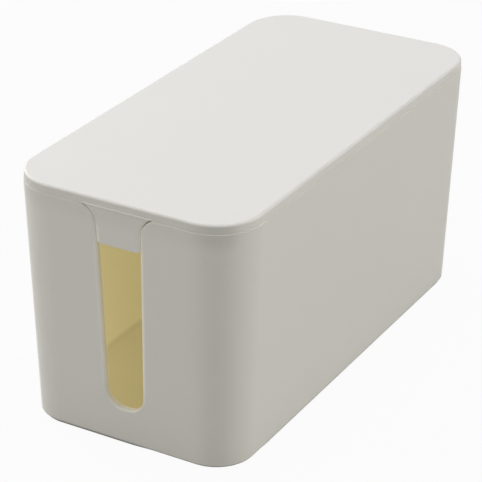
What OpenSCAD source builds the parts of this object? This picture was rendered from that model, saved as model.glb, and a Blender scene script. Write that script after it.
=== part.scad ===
// Cable management box: a deep moulded tub with a cable slot in each end, a
// lift-off lid whose two tabs close the tops of the slots, and four rubber feet.
// X runs across the width, Y along the length, Z up.
// The origin is the middle of the footprint, on the surface the box stands on.

/* [Overall size] */
// Length over the two slotted ends, at the rim
box_length = 235; // [190:1:320]
// Width across the two long sides, at the rim
box_width = 115; // [95:1:150]
// Height from the table to the top of the lid
box_height = 119.5; // [95:0.5:150]
// Radius of the four upright corners, at the rim
corner_radius = 22; // [17:0.5:30]
// Lean of every tub wall from upright, so the tub is wider at the rim
draft_angle = 2; // [0.5:0.25:2.5]

/* [Tub] */
// Thickness of the walls
wall = 3; // [2.5:0.25:4]
// Thickness of the floor
floor_thickness = 3; // [2.5:0.25:4]
// Rounding along the outside bottom edge
base_edge_radius = 0.9; // [0.4:0.1:1.5]
// Rounding inside, where the floor meets the walls
inside_floor_radius = 2.5; // [1:0.5:4]
// Rounding along the outside of the rim
rim_edge_radius = 0.4; // [0.3:0.1:1.4]

/* [Cable slots] */
// Width of a slot as its sides would meet the rim
slot_mouth_width = 23; // [16:0.5:36]
// Lean of the slot's sides, narrower at the bottom
slot_taper = 1.2; // [0:0.1:2.5]
// Height of the slot's lowest point above the table
slot_bottom_height = 18; // [12:0.5:50]
// Radius of the slot's two bottom corners
slot_corner_radius = 8.3; // [3:0.1:9]
// Radius of the shoulders where the slot flares into the rim
slot_shoulder_radius = 10; // [6:0.5:14]
// Rounding around both cable slots, outside
slot_edge_radius = 0.6; // [0.4:0.1:1.4]

/* [Lid] */
// Height of the lid's visible band above the rim
lid_band = 4.4; // [3.8:0.1:8]
// Thickness of the lid's flat top
lid_thickness = 3; // [2:0.25:3.5]
// Step from the tub's outside face in to the lid's band
lid_inset = 0.3; // [0.1:0.05:0.4]
// Rounding around the lid's top edge
lid_edge_radius = 1.2; // [0.5:0.1:2]
// Rounding along the lid's lower outside edge
lid_lip_radius = 0.15; // [0.1:0.05:0.5]
// Depth of the locating skirt below the rim
skirt_depth = 5; // [3:0.5:8]
// Thickness of the locating skirt
skirt_thickness = 2; // [1.5:0.25:3]
// Gap between the skirt and the tub's walls
skirt_clearance = 0.35; // [0.2:0.05:0.8]

/* [Lid tabs] */
// How far a tab hangs below the rim
tab_drop = 16.9; // [14.5:0.2:30]
// Gap between a tab and the slot's sides
tab_gap = 0.6; // [0.25:0.05:0.8]
// Radius of a tab's two lower corners
tab_corner_radius = 1.6; // [1.2:0.1:4]
// Rounding around a tab's outside edges
tab_edge_radius = 0.5; // [0.3:0.1:1]
// Height above the rim of the ledge along the top of a tab
tab_ledge_rise = 0.75; // [0.3:0.05:1]
// Rounding along that ledge
tab_ledge_radius = 0.3; // [0.15:0.05:0.5]

/* [Rubber feet] */
// Diameter of a foot
foot_diameter = 12; // [8:0.5:16]
// Height that a foot stands below the tub
foot_proud = 1.1; // [0.6:0.1:2]
// Depth of the recess that a foot is glued into
foot_recess = 1; // [0.6:0.1:1.2]
// Distance from the tub's base outline to a foot's rim
foot_margin = 12; // [6:0.5:20]
// Rounding around a foot's lower edge
foot_edge_radius = 0.5; // [0.2:0.1:0.5]

/* [Hidden] */
$fn = 96;

shell_grey = [0.80, 0.79, 0.75];
lid_grey = [0.89, 0.88, 0.86];
rubber_grey = [0.22, 0.22, 0.22];

base_z = foot_proud;                       // underside of the tub
rim_z = box_height - lid_band;             // top of the tub's rim
floor_z = base_z + floor_thickness;        // floor inside the tub
lean = tan(draft_angle);
core_x = box_width / 2 - corner_radius;    // axes of the upright corners
core_y = box_length / 2 - corner_radius;
through = 8;                               // overshoot of a cutter into open space
seam = 0.005;                              // how far an arc passes the line that it blends
                                           // into, so that faces cross and never just touch

// distance of the tub's outside and inside faces from a corner's axis at height z
function out_r(z) = corner_radius - lean * (rim_z - z);
function in_r(z) = out_r(z) - wall;

// inside rounding, kept smaller than the corner it runs around
floor_fillet = min(inside_floor_radius, in_r(floor_z) - 0.5);

// the slot's outline in the plane of a drafted end wall, y = 0 at the rim
rim_w = slot_mouth_width / 2;
end_slope = 1 / cos(draft_angle);
slot_low = -(rim_z - slot_bottom_height) * end_slope;
shoulder = slot_shoulder_radius;
shoulder_rise = 0.8;                       // how far the full arc would stand above the rim
shoulder_x = side_x(rim_w, shoulder_rise - shoulder) + (shoulder - seam) / cos(slot_taper);
bottom_r = min(slot_corner_radius, side_x(rim_w, slot_low) - 0.3);
bottom_y = slot_low + bottom_r - seam;
bottom_x = side_x(rim_w, bottom_y) - (bottom_r - seam) / cos(slot_taper);

// a lid tab's outline in the same plane
tab_w = rim_w - tab_gap / cos(slot_taper);
tab_low = -tab_drop;
tab_r = tab_corner_radius;
tab_y = tab_low + tab_r - seam;
tab_x = side_x(tab_w, tab_y) - (tab_r - seam) / cos(slot_taper);

// the locating skirt, upright, clear of the drafted wall at its lower edge
skirt_r = in_r(rim_z - skirt_depth) - skirt_clearance;

foot_x = core_x + out_r(base_z) - foot_margin - foot_diameter / 2;
foot_y = core_y + out_r(base_z) - foot_margin - foot_diameter / 2;

// half width at height y of a slot or tab that is w wide there at the rim
function side_x(w, y) = w + tan(slot_taper) * y;
// the point at distance d from p, straight across towards a slot's right side
function across(p, d) = [p[0] + d * cos(slot_taper), p[1] - d * sin(slot_taper)];
// the point at distance d from p, up along a slot's right side
function along(p, d) = [p[0] + d * sin(slot_taper), p[1] + d * cos(slot_taper)];

// ---- building blocks ----

// carries a profile drawn as [distance from the corner axes, height] around
// the rounded rectangle of the box
module around_box() {
    for (k = [0, 1]) {
        mirror([k, 0, 0]) translate([core_x, core_y, 0]) rotate([90, 0, 0])
            linear_extrude(height = 2 * core_y) children();
        mirror([0, k, 0]) translate([-core_x, core_y, 0]) rotate([90, 0, 90])
            linear_extrude(height = 2 * core_x) children();
    }
    for (a = [0, 1], b = [0, 1])
        mirror([a, 0, 0]) mirror([0, b, 0]) translate([core_x, core_y, 0])
            rotate_extrude(angle = 90) children();
}

// the block between the corner axes, from z0 up to z1
module box_core(z0, z1) {
    translate([-core_x, -core_y, z0]) cube([2 * core_x, 2 * core_y, z1 - z0]);
}

// places children in the plane of an end wall: x across, y up the leaning wall
// from the rim, z inward from the outside face
module on_end(back = 0) {
    rotate([0, 0, 180 * back]) translate([0, -box_length / 2, rim_z])
        rotate([draft_angle, 0, 0]) rotate([90, 0, 180]) children();
}

// what turns a square edge into a rounding of radius r: x runs into the
// material, y inward from the face
module edge_cut(r) {
    c = r - seam;
    difference() {
        translate([-1, -1]) square(1 + c);
        translate([c, c]) circle(r);
    }
}

// a list of points on the right, and the same points mirrored to the left
function both_sides(p) = concat(p, [for (i = [len(p) - 1:-1:0]) [-p[i][0], p[i][1]]]);

// carries children along a straight edge from p for len, in direction dir
// degrees from +y, with x of the profile pointing right of the direction
module along_edge(p, dir, len) {
    translate([p[0], p[1], 0]) rotate([0, 0, -dir]) translate([0, len, 0])
        rotate([90, 0, 0]) linear_extrude(height = len) children();
}

// ---- cable slot ----

slot_corner = [bottom_x, bottom_y];
shoulder_c = [shoulder_x, shoulder_rise - shoulder];
slot_side_low = across(slot_corner, bottom_r - seam);
slot_side_high = across(shoulder_c, seam - shoulder);
slot_side_len = norm(slot_side_high - slot_side_low);

// outline of a slot: rounded bottom, leaning sides, shoulders flaring into the rim
module slot_outline() {
    polygon(both_sides([[bottom_x, slot_low], slot_corner, slot_side_low,
                        [side_x(rim_w, through), through]]));
    for (k = [0, 1]) mirror([k, 0]) translate(slot_corner) circle(bottom_r);
    difference() {
        polygon(both_sides([across(shoulder_c, -shoulder - 1), shoulder_c, [shoulder_x, through]]));
        for (k = [0, 1]) mirror([k, 0]) translate(shoulder_c) circle(shoulder);
    }
}

// a slot with the rounding around its outside edge
module slot_cut(r) {
    translate([0, 0, -through]) linear_extrude(height = 2 * through + wall) slot_outline();
    along_edge([-bottom_x, slot_low], 90, 2 * bottom_x) edge_cut(r);
    for (k = [0, 1]) mirror([k, 0, 0]) {
        along_edge(slot_side_low, slot_taper, slot_side_len + 3) edge_cut(r);
        translate([slot_corner[0], slot_corner[1], 0])
            rotate_extrude() translate([bottom_r, 0]) edge_cut(r);
        translate([shoulder_c[0], shoulder_c[1], 0]) rotate([0, 0, 90])
            rotate_extrude(angle = 90 - slot_taper) translate([shoulder, 0]) mirror([1, 0]) edge_cut(r);
    }
}

// ---- lid tab ----

tab_corner = [tab_x, tab_y];
tab_side_high = across(shoulder_c, seam - shoulder - tab_gap);

// outline of a tab: the slot's flare less the gap, up to height top
module tab_outline(top) {
    difference() {
        polygon(both_sides([[side_x(tab_w, tab_low), tab_low], tab_side_high, shoulder_c,
                            [shoulder_x, shoulder_c[1]], [shoulder_x, top]]));
        for (k = [0, 1]) mirror([k, 0]) {
            translate(shoulder_c) circle(shoulder + tab_gap);
            difference() {
                polygon([tab_corner, across(tab_corner, tab_r + 1), [tab_x + tab_r + 1, tab_low - 1],
                         [tab_x, tab_low - 1]]);
                translate(tab_corner) circle(tab_r);
            }
        }
    }
}

// the rounding around a tab's outside edge
module tab_edge_cut(r) {
    along_edge([shoulder_x, tab_low], -90, 2 * shoulder_x) edge_cut(r);
    for (k = [0, 1]) mirror([k, 0, 0]) {
        along_edge(tab_side_high, 180 + slot_taper, tab_drop) edge_cut(r);
        translate([tab_corner[0], tab_corner[1], 0]) rotate([0, 0, -90])
            rotate_extrude(angle = 90 - slot_taper) translate([tab_r, 0]) mirror([1, 0]) edge_cut(r);
        translate([shoulder_c[0], shoulder_c[1], 0]) rotate([0, 0, 80])
            rotate_extrude(angle = 120) translate([shoulder + tab_gap, 0]) edge_cut(r);
    }
}

// a tab, flush with the end wall's outside face, from its lower edge up to the
// ledge below the lid's band, with the web that ties it to the skirt behind it
module tab_solid() {
    difference() {
        linear_extrude(height = wall) tab_outline(tab_ledge_rise);
        tab_edge_cut(tab_edge_radius);
        along_edge([-shoulder_x, tab_ledge_rise], 90, 2 * shoulder_x) edge_cut(tab_ledge_radius);
    }
    intersection() {
        linear_extrude(height = wall + skirt_clearance + skirt_thickness) tab_outline(through);
        translate([-shoulder_x, 0.5 - skirt_depth, wall - 0.5]) cube([2 * shoulder_x, skirt_depth, through]);
    }
}

// ---- profiles, drawn as [distance from the corner axes, height] ----

// the corner left outside a circle of radius r and centre c, between a level
// line at height z and the leaning line of a wall
module wall_corner(c, z, r) {
    touch = [c[0] + r * cos(draft_angle), c[1] - r * sin(draft_angle)];
    over = 1;
    difference() {
        polygon([c, touch, touch + over * [cos(draft_angle), -sin(draft_angle)],
                 [touch[0] + over, z - over], [c[0], z - over]]);
        translate(c) circle(r);
    }
}

// outside of the tub, solid
module tub_outer_profile() {
    base_c = [out_r(base_z) + lean * base_edge_radius - base_edge_radius * end_slope, base_z + base_edge_radius];
    rim_c = [out_r(rim_z) - lean * rim_edge_radius - rim_edge_radius * end_slope, rim_z - rim_edge_radius];
    rim_touch = rim_c + rim_edge_radius * [cos(draft_angle), -sin(draft_angle)];
    difference() {
        polygon([[0, base_z], [out_r(base_z), base_z], [out_r(rim_z), rim_z], [0, rim_z]]);
        wall_corner(base_c, base_z, base_edge_radius);
        difference() {
            polygon([rim_c, rim_touch, rim_touch + [cos(draft_angle), -sin(draft_angle)],
                     [rim_touch[0] + 1, rim_z + 1], [rim_c[0], rim_z + 1]]);
            translate(rim_c) circle(rim_edge_radius);
        }
    }
}

// hollow of the tub
module tub_inner_profile() {
    fillet_c = [in_r(floor_z) + lean * floor_fillet - floor_fillet * end_slope, floor_z + floor_fillet];
    difference() {
        polygon([[0, floor_z], [in_r(floor_z), floor_z], [in_r(rim_z + through), rim_z + through],
                 [0, rim_z + through]]);
        wall_corner(fillet_c, floor_z, floor_fillet);
    }
}

module lid_profile() {
    band_r = corner_radius - lid_inset;
    difference() {
        polygon([[0, box_height - lid_thickness], [skirt_r - skirt_thickness, box_height - lid_thickness],
                 [skirt_r - skirt_thickness, rim_z - skirt_depth], [skirt_r, rim_z - skirt_depth],
                 [skirt_r, rim_z], [band_r, rim_z], [band_r, box_height], [0, box_height]]);
        // top edge
        difference() {
            translate([band_r - lid_edge_radius, box_height - lid_edge_radius]) square(3);
            translate([band_r - lid_edge_radius, box_height - lid_edge_radius]) circle(lid_edge_radius);
        }
        // lower outside edge
        difference() {
            translate([band_r - lid_lip_radius, rim_z - 3 + lid_lip_radius]) square(3);
            translate([band_r - lid_lip_radius, rim_z + lid_lip_radius]) circle(lid_lip_radius);
        }
    }
}

// ---- the pieces ----

// tub, the open-topped body of the box
module tub() {
    color(shell_grey) difference() {
        union() {
            around_box() tub_outer_profile();
            box_core(base_z, rim_z);
        }
        union() {
            around_box() tub_inner_profile();
            box_core(floor_z, rim_z + through);
        }
        for (back = [0, 1]) on_end(back) slot_cut(slot_edge_radius);
        for (sx = [-1, 1], sy = [-1, 1]) translate([sx * foot_x, sy * foot_y, base_z - 1])
            cylinder(d = foot_diameter + 0.3, h = foot_recess + 1);
    }
}

// lid with its locating skirt and its two slot tabs
module lid() {
    color(lid_grey) union() {
        around_box() lid_profile();
        box_core(box_height - lid_thickness, box_height);
        for (back = [0, 1]) on_end(back) tab_solid();
    }
}

// one round rubber foot, glued into its recess
module foot(sx, sy) {
    color(rubber_grey) translate([sx * foot_x, sy * foot_y, 0]) rotate_extrude() difference() {
        square([foot_diameter / 2, foot_proud + foot_recess]);
        difference() {
            translate([foot_diameter / 2 - foot_edge_radius, -1]) square([1, 1 + foot_edge_radius]);
            translate([foot_diameter / 2 - foot_edge_radius, foot_edge_radius]) circle(foot_edge_radius);
        }
    }
}

module foot_front_left() { foot(-1, -1); }
module foot_front_right() { foot(1, -1); }
module foot_back_left() { foot(-1, 1); }
module foot_back_right() { foot(1, 1); }

tub();
lid();
foot_front_left();
foot_front_right();
foot_back_left();
foot_back_right();
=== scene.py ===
"""A cable management box: a tub with a slot in each end, a lift-off lid with two tabs, and rubber feet.

The CAD solids give every shape. This script gives them their moulded plastic and rubber, and adds a pale
floor, soft studio light and the camera. Lengths are in metres. +Z is up, -Y the front end, +X the right side.
"""
import math

import bpy
import numpy as np
from mathutils import Matrix, Vector


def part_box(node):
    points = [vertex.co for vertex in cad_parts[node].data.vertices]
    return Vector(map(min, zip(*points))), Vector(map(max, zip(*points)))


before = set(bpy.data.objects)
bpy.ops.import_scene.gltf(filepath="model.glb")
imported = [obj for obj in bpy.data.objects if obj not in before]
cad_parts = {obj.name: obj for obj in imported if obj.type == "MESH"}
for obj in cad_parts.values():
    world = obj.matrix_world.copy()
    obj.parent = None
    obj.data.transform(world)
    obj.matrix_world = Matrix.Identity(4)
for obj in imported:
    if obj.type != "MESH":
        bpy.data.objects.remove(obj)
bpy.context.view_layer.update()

# ---- sizes that the finishes follow, the same as the solids' ----
LENGTH, WIDTH = 0.235, 0.115   # at the rim
CORNER_RADIUS = 0.022          # of the four upright corners, at the rim
LEAN = math.tan(math.radians(2))            # of the tub's walls
WALL = 0.003
BASE_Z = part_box("tub")[0].z
RIM_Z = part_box("tub")[1].z
TOP_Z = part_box("lid")[1].z
FLOOR_Z = BASE_Z + WALL        # the tub's floor is as thick as its walls
SLOT_BOTTOM_Z = 0.018
SLOT_MOUTH = 0.023             # a slot's width as its sides would meet the rim
SLOT_TAPER = math.tan(math.radians(1.2))    # of a slot's sides

# ---- colours ----
PLASTIC = (0.79, 0.78, 0.75, 1.0)
# painted light: the warmer inside colour is the tint of the light that the walls let through
PLASTIC_INSIDE = (0.79, 0.77, 0.70, 1.0)
RUBBER = (0.035, 0.035, 0.036, 1.0)
RUBBER_WORN = (0.075, 0.074, 0.072, 1.0)
PAPER = (0.45, 0.45, 0.44, 1.0)
WHITE = (1.0, 1.0, 1.0, 1.0)
STUDIO_AIR = (1.0, 0.98, 0.95, 1.0)

# Painted light: the emission that stands in for light through the plastic, on the inner surfaces and cut
# edges, and a painted highlight along the lips.
WALL_LIGHT = (0.162, 0.137, 0.064, 1.0)
NO_LIGHT = (0.0, 0.0, 0.0, 1.0)
CUT_LIGHT = (0.088, 0.084, 0.076, 1.0)
LIP_LIGHT = (0.092, 0.074, 0.054, 1.0)

# Where the painted highlight along a slot's side is brightest, counted outwards from that side, and how
# bright
# it is: on the left beside the tab, on the left below it, and on the right.
TUB_LIP = {"at": 0.0004, "beside_tab": 0.0, "left": 0.45, "right": 1.25}
LID_LIP = {"at": -0.0011, "beside_tab": 0.8, "left": 0.0, "right": 0.2}

# The lamps' tints.
WARM, PALE, COOL = (1.0, 0.98, 0.87), (1.0, 0.99, 0.91), (1.0, 1.01, 1.10)

# ---- shader tools ----


class Wire:
    """A socket that gives a value. Arithmetic on wires and numbers adds the Math nodes that work it out."""

    def __init__(self, graph, socket):
        self.graph, self.socket = graph, socket

    def math(self, operation, *values):
        return self.graph.add("ShaderNodeMath", {"operation": operation}, dict(enumerate(values)))

    def __add__(self, other):
        return self.math("ADD", self, other)

    def __radd__(self, other):
        return self.math("ADD", other, self)

    def __sub__(self, other):
        return self.math("SUBTRACT", self, other)

    def __rsub__(self, other):
        return self.math("SUBTRACT", other, self)

    def __mul__(self, other):
        return self.math("MULTIPLY", self, other)

    def __rmul__(self, other):
        return self.math("MULTIPLY", other, self)

    def __truediv__(self, other):
        return self.math("DIVIDE", self, other)

    def __pow__(self, other):
        return self.math("POWER", self, other)

    def __abs__(self):
        return self.math("ABSOLUTE", self)

    def at_least(self, other):
        return self.math("MAXIMUM", self, other)

    def at_most(self, other):
        return self.math("MINIMUM", self, other)

    def ramp(self, low, high):
        """0 where the value is low, 1 where it is high, eased in between. low may be the greater."""
        t = ((self - low) / (high - low)).at_least(0.0).at_most(1.0)
        return t * t * (3.0 - 2.0 * t)

    def band(self, foot, shoulder, far_shoulder, far_foot):
        """1 between the shoulders, 0 outside the feet, eased in between. The four numbers rise."""
        return self.ramp(foot, shoulder) * self.ramp(far_foot, far_shoulder)

    def between(self, low, high):
        """low where the value is 0, high where it is 1, in proportion in between."""
        return low + (high - low) * self


class Graph:
    """The nodes of one material or of the world."""

    def __init__(self, tree):
        self.tree = tree
        tree.nodes.clear()

    def add(self, kind, settings=None, sockets=None, out=0):
        """Adds a node, sets its settings first and its sockets next, and returns the wire from output out."""
        node = self.tree.nodes.new(kind)
        for name, value in (settings or {}).items():
            setattr(node, name, value)
        for name, value in (sockets or {}).items():
            if isinstance(value, Wire):
                self.tree.links.new(value.socket, node.inputs[name])
            else:
                node.inputs[name].default_value = value
        return Wire(self, node.outputs[out]) if node.outputs else None

    def place(self):
        """The shaded point in the box's own frame, as one vector."""
        return self.add("ShaderNodeTexCoord", out="Object")

    def axes(self, vector):
        """x, y and z of a vector."""
        return [self.add("ShaderNodeSeparateXYZ", None, {"Vector": vector}, axis) for axis in "XYZ"]

    def noise(self, place, scale, detail=2.0, roughness=0.5):
        """Smooth noise about 0.5, scale features to the metre."""
        return self.add("ShaderNodeTexNoise", {"noise_dimensions": "3D"},
                        {"Vector": place, "Scale": scale, "Detail": detail, "Roughness": roughness}, "Fac")

    def scaled(self, colour, factor):
        """A colour times a value that varies."""
        colour = colour if isinstance(colour, Wire) else colour[:3]
        return self.add("ShaderNodeVectorMath", {"operation": "SCALE"}, {0: colour, "Scale": factor})

    def blend(self, factor, first, second):
        """Colour first where factor is 0, second where it is 1."""
        # a Mix node has sockets for each kind of value, and these are the numbers of those for colours
        factor_socket, first_socket, second_socket, colour_output = 0, 6, 7, 2
        return self.add("ShaderNodeMix", {"data_type": "RGBA"},
                        {factor_socket: factor, first_socket: first, second_socket: second}, colour_output)

    def looked_at(self):
        """1 where the camera, a reflection or a clear pass looks at the surface, 0 where it only lights."""
        camera, glossy, clear = (self.add("ShaderNodeLightPath", out=ray)
                                 for ray in ("Is Camera Ray", "Is Glossy Ray", "Is Transmission Ray"))
        return camera.at_least(glossy).at_least(clear)


def new_material(name):
    """A material and the graph of its nodes, still empty."""
    material = bpy.data.materials.new(name)
    material.use_nodes = True
    return material, Graph(material.node_tree)


# ---- the plastic and the rubber ----


def wall_depth(x, y, z):
    """How far a point lies inside the tub's leaning outside face.

    The corner's radius at that height, less the distance from the upright corners' axes.
    """
    across = (abs(x) - (WIDTH / 2 - CORNER_RADIUS)).at_least(0.0)
    along = (abs(y) - (LENGTH / 2 - CORNER_RADIUS)).at_least(0.0)
    return CORNER_RADIUS - (RIM_Z - z) * LEAN - (across * across + along * along) ** 0.5


def painted_shade_and_light(x, y, z, depth):
    """How much darker or lighter the plastic is than elsewhere, as a factor on its tone.

    Painted shade darkens the rim's rounding, the top of the end wall in front and, far more, the tub's
    rounded lower edge, where the contact shadow falls. Painted light makes the lid's right side a little
    lighter. All of these correct what the lamps alone leave too even.
    """
    above_rim = z - RIM_Z
    on_rim = above_rim.band(-0.0006, -0.0003, 0.0001, 0.0002)
    on_end_top = above_rim.band(-0.010, -0.002, 0.0029, 0.0037) * y.ramp(-0.106, -0.113)
    on_lower_edge = (z - BASE_Z).ramp(0.0012, 0.0004) * depth.ramp(0.0010, 0.0007)
    on_lid_right = above_rim.band(-0.0001, 0.0002, 0.0032, 0.0036) * x.ramp(0.050, 0.055)
    # painted shade on the rim's rounding, the end wall's top and the lower edge; painted light on the lid's
    # right side
    darker = on_rim * x.ramp(-0.012, -0.016).between(0.06, 0.09)
    darker = darker + on_end_top * x.ramp(0.032, 0.044).between(0.045, 0.105)
    darker = darker + on_lower_edge * y.ramp(-0.095, -0.112).between(0.3, 0.6)
    return 1.0 + 0.035 * on_lid_right - darker


def edge_light(g, x, y, z, depth, lip):
    """The emission at the cut edges and along the front slot's lips, fainter towards the slot's bottom."""
    above_rim = z - RIM_Z
    off_slot_bottom = (z - SLOT_BOTTOM_Z).ramp(0.004, 0.016)
    below_tab = above_rim.ramp(-0.015, -0.017)
    on_right = x.ramp(-0.001, 0.001)
    in_left_gap = (1.0 - below_tab) * (1.0 - on_right)
    # the walls' cut edges, painted light: they begin just inside the outside face and fade through the wall
    cut = depth.band(0.00004, 0.0002, 0.0008, 0.0026) * above_rim.ramp(0.0, -0.002)
    cut = cut * off_slot_bottom.between(0.35, 1.0) * in_left_gap.between(1.0, 0.65)
    # the rounded lips: a painted highlight along each of the slot's sides, from its bottom up to the
    # shoulders
    from_side = abs(x) - (SLOT_MOUTH / 2 + above_rim * SLOT_TAPER)
    on_lip = abs(from_side - lip["at"]).ramp(0.0013, 0.0005) * depth.ramp(0.0012, 0.0004)
    on_lip = on_lip * y.ramp(-0.05, -0.06) * off_slot_bottom * above_rim.ramp(-0.006, -0.010)
    left = below_tab.between(lip["beside_tab"], lip["left"])
    right = lip["right"] * below_tab.between(0.35, 1.0)
    strength = cut.at_least(on_lip * on_right.between(left, right))
    return g.scaled(g.blend(on_lip * on_right, CUT_LIGHT, LIP_LIGHT), strength)


def moulded_plastic(name, wall_light, lip):
    """Satin moulded plastic with a faint drift of tone and a fine etched grain, a little warmer inside.

    A weak emission, painted light, stands in for the light that its walls let through: warm on the inner
    surfaces and pale at the edges of the slots. The warmer colour inside is painted light too, the tint of
    that light.
    """
    material, g = new_material(name)
    place = g.place()
    x, y, z = g.axes(place)
    depth = wall_depth(x, y, z)
    drift = g.noise(place, 22.0)
    speck = g.noise(place, 900.0)
    grain = g.noise(place, 2600.0, roughness=0.6)
    # the plastic's own drift of tone, times the painted shade and painted light
    tone = (0.985 + 0.02 * drift + 0.01 * speck) * painted_shade_and_light(x, y, z, depth)
    off_underside = (z - BASE_Z).ramp(0.0011, 0.0025)
    inside = depth.ramp(0.0006, WALL - 0.0004) * z.ramp(TOP_Z - 0.001, TOP_Z - 0.002) * off_underside
    on_inner_face = depth.ramp(WALL - 0.0005, WALL - 0.0001) * off_underside
    # the light through the walls is fainter on the tub's floor, towards the back end and at the very front
    through_walls = (z - FLOOR_Z).ramp(0.0005, 0.003).between(0.75, 1.25)
    through_walls = through_walls * y.ramp(0.06, -0.09).between(0.6, 1.0)
    through_walls = through_walls * y.ramp(-0.09, -0.11).between(1.0, 0.7)
    light = g.blend(on_inner_face, edge_light(g, x, y, z, depth, lip), g.scaled(wall_light, through_walls))
    shade = g.add("ShaderNodeBsdfPrincipled", None, {
        "Base Color": g.blend(inside, g.scaled(PLASTIC, tone), g.scaled(PLASTIC_INSIDE, tone)),
        "Roughness": 0.44 + 0.06 * speck,
        "IOR": 1.46,
        "Emission Color": light,
        "Emission Strength": 1.0,
        "Normal": g.add("ShaderNodeBump", None, {"Strength": 0.12, "Distance": 0.00004, "Height": grain}),
    })
    g.add("ShaderNodeOutputMaterial", None, {"Surface": shade})
    return material


def foot_rubber(name):
    """Dark matt rubber with a fine sandy surface, worn paler where it stands."""
    material, g = new_material(name)
    place = g.place()
    z = g.axes(place)[2]
    sand = g.noise(place, 1800.0, 3.0, 0.6)
    worn = z.ramp(0.0012, 0.0)
    shade = g.add("ShaderNodeBsdfPrincipled", None, {
        "Base Color": g.blend(worn * 0.5 + 0.3 * sand, RUBBER, RUBBER_WORN),
        "Roughness": 0.72 + 0.16 * sand,
        "Normal": g.add("ShaderNodeBump", None, {"Strength": 0.35, "Distance": 0.0001, "Height": sand}),
    })
    g.add("ShaderNodeOutputMaterial", None, {"Surface": shade})
    return material


def dress(node, material):
    """Puts one material on a CAD node."""
    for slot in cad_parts[node].material_slots:
        slot.material = material


dress("tub", moulded_plastic("tub_plastic", WALL_LIGHT, TUB_LIP))
dress("lid", moulded_plastic("lid_plastic", NO_LIGHT, LID_LIP))
rubber = foot_rubber("foot_rubber")
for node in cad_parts:
    if node.startswith("foot"):
        dress(node, rubber)

# ---- the floor, the light and the camera ----


def mesh_from_grid(name, points):
    """A mesh of quads from an array of points, rows by columns by three."""
    rows, columns = points.shape[:2]
    i = np.arange(rows - 1)[:, None] * columns + np.arange(columns - 1)[None, :]
    quads = np.stack([i, i + columns, i + columns + 1, i + 1], axis=-1).reshape(-1, 4)
    mesh = bpy.data.meshes.new(name)
    mesh.from_pydata(points.reshape(-1, 3).tolist(), [], quads.tolist())
    mesh.update()
    return mesh


def floor_disc(radius, drop, rings=24, spokes=96):
    """A flat disc: radius times t cubed on spoke angle a, so that the rings crowd towards the middle."""
    t = np.linspace(0.0, 1.0, rings)[:, None] ** 3 * radius
    a = np.linspace(0.0, 2 * math.pi, spokes + 1)[None, :]
    return np.stack([t * np.cos(a), t * np.sin(a), np.full((rings, spokes + 1), -drop)], axis=-1)


def pale_floor(name):
    """Matt paper that looks nearly evenly white, with a trace of the box's shadow.

    Only the camera and reflections see the white emission that makes it so. Under the box, from a little
    further in at the front end, they see mostly the paper, in shadow.
    """
    material, g = new_material(name)
    paper = g.add("ShaderNodeBsdfPrincipled", None, {
        "Base Color": PAPER, "Roughness": 0.9, "Specular IOR Level": 0.2})
    white = g.add("ShaderNodeEmission", None, {"Color": WHITE, "Strength": 1.0})
    x, y, z = g.axes(g.place())
    further_in = y.ramp(-0.08, -0.11) * x.ramp(0.0, 0.03).between(0.0004, 0.0024)
    under_box = (wall_depth(x, y, z) - further_in).ramp(0.0009, 0.0013)
    evenly_white = under_box.between(0.95, 0.05) * g.looked_at()
    seen = g.add("ShaderNodeMixShader", None, {0: evenly_white, 1: paper, 2: white})
    g.add("ShaderNodeOutputMaterial", None, {"Surface": seen})
    return material


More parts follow.
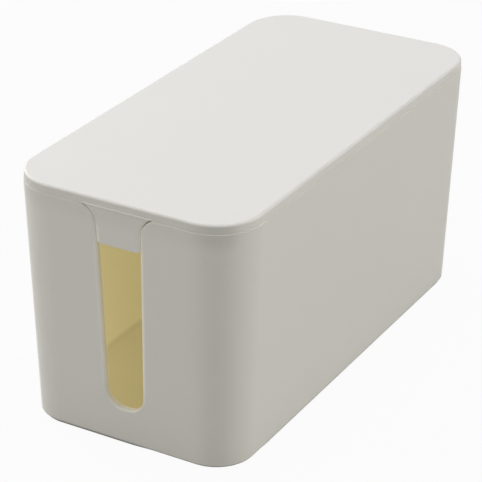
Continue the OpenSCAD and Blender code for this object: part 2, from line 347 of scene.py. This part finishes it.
def softbox(name, azimuth, elevation, size, power, tint, distance=1.9):
    """A square area lamp that faces the middle of the box. Azimuth 0 is in front of it, 90 on its right."""
    turn, climb = math.radians(azimuth), math.radians(elevation)
    middle = Vector((0.0, 0.0, TOP_Z / 2))
    away = Vector((math.cos(climb) * math.sin(turn), -math.cos(climb) * math.cos(turn), math.sin(climb)))
    lamp = bpy.data.lights.new(name, "AREA")
    lamp.shape, lamp.size, lamp.energy, lamp.color = "SQUARE", size, power, tint
    holder = bpy.data.objects.new(name, lamp)
    holder.location = middle + away * distance
    holder.rotation_euler = (-away).to_track_quat("-Z", "Y").to_euler()
    bpy.context.scene.collection.objects.link(holder)


def studio_air():
    """The world: an even soft light, and white wherever the camera or a reflection looks past the floor."""
    world = bpy.data.worlds.new("studio")
    world.use_nodes = True
    bpy.context.scene.world = world
    g = Graph(world.node_tree)
    soft = g.add("ShaderNodeBackground", None, {"Color": STUDIO_AIR, "Strength": 0.02})
    white = g.add("ShaderNodeBackground", None, {"Color": WHITE, "Strength": 1.0})
    seen = g.add("ShaderNodeMixShader", None, {0: g.looked_at(), 1: soft, 2: white})
    g.add("ShaderNodeOutputWorld", None, {"Surface": seen})


def rotation(axis, degrees):
    """The matrix that turns about one axis."""
    return Matrix.Rotation(math.radians(degrees), 3, axis)


def studio_camera(stand, turn, tilt, roll, lens):
    """The camera at the point stand.

    From looking straight down it is rolled about its own axis, tilted up and turned about +Z, in degrees.
    """
    camera = bpy.data.cameras.new("camera")
    camera.sensor_width, camera.lens = 36.0, lens
    camera.clip_start, camera.clip_end = 0.05, 20.0
    aim = rotation("Z", turn) @ rotation("X", tilt) @ rotation("Z", roll)
    holder = bpy.data.objects.new("camera", camera)
    holder.matrix_world = Matrix.Translation(stand) @ aim.to_4x4()
    bpy.context.scene.collection.objects.link(holder)
    bpy.context.scene.camera = holder


floor = bpy.data.objects.new("floor", mesh_from_grid("floor", floor_disc(radius=5.0, drop=0.0001)))
floor.data.materials.append(pale_floor("floor_paper"))
bpy.context.scene.collection.objects.link(floor)

softbox("lamp_top", 0, 88, size=1.2, power=18.8, tint=COOL)
softbox("lamp_back_left", -110, 22, size=1.0, power=16.6, tint=PALE)
softbox("lamp_front_left", -50, 22, size=1.0, power=11.4, tint=WARM)
softbox("lamp_front_right", 50, 22, size=1.0, power=5.4, tint=WARM)
softbox("lamp_back_right", 110, 22, size=1.0, power=11.5, tint=WARM)
studio_air()
studio_camera(stand=(0.429234, -0.767804, 0.490677), turn=29.6198, tilt=63.4641, roll=0.4490, lens=155.764)
bpy.context.scene.view_settings.view_transform = "Standard"
